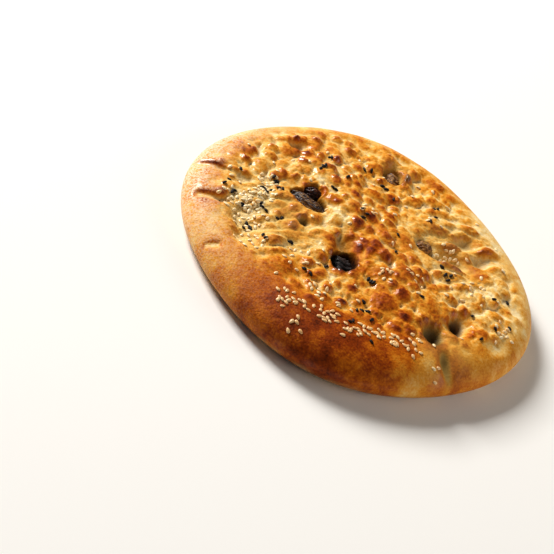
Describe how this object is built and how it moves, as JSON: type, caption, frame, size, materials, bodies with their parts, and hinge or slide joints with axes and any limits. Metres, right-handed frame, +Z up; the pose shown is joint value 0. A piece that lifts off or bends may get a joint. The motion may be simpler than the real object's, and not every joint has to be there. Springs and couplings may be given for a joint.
{
  "type": "keema naan flatbread",
  "caption": "Round leavened flatbread with a thick smooth rim, a blistered seeded top, and dark filling showing through openings in the crust.",
  "frame": {"origin": "on the flat base, in the middle of the bread's box seen from above", "axes": "+Z up from the base to the baked side, the bread's shortest way; +X along its longest way; the broad smooth side of the rim faces -Y"},
  "size_m": [0.2036, 0.1956, 0.0264],
  "materials": {
    "crust": "satin",
    "sesame_seed": "satin",
    "nigella_seed": "matte",
    "filling": "gloss"
  },
  "bodies": {
    "root": {"bread": "crust", "filling_upper": "filling", "filling_lower": "filling", "filling_pit": "filling", "filling_back": "filling", "filling_small": "filling"}
  },
  "joints": []
}
